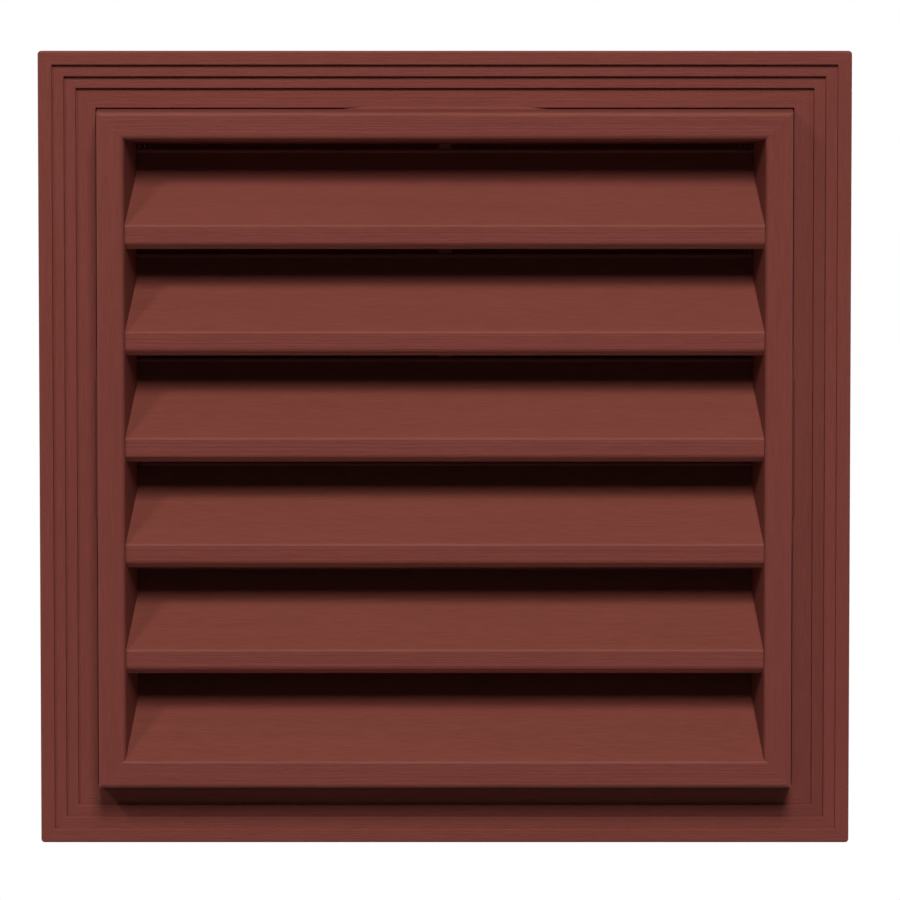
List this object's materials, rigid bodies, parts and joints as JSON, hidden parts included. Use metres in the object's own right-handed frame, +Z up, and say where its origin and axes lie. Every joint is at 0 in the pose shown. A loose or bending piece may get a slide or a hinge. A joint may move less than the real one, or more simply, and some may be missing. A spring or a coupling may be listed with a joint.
{
  "type": "louvred wall vent",
  "caption": "Square louvred vent for an outside wall: drafted frame with sloped, lipped blades, a stepped trim ring that clips over it, nailing flange and insect screen.",
  "frame": {"origin": "centre of the nailing flange's back face, in the plane of the wall", "axes": "-Y out of the wall towards the viewer, +Z up, +X to the viewer's right"},
  "size_m": [0.394, 0.0565, 0.3854],
  "materials": {
    "body_plastic": "matte, moulded in colour, with a fine embossed wood grain along each member",
    "trim_plastic": "matte, moulded in colour, with a fine embossed wood grain along each side",
    "screen_mesh": "coated dark mesh, matte"
  },
  "bodies": {
    "root": {"vent_body": "body_plastic", "trim_ring": "trim_plastic", "insect_screen": "screen_mesh"}
  },
  "joints": []
}
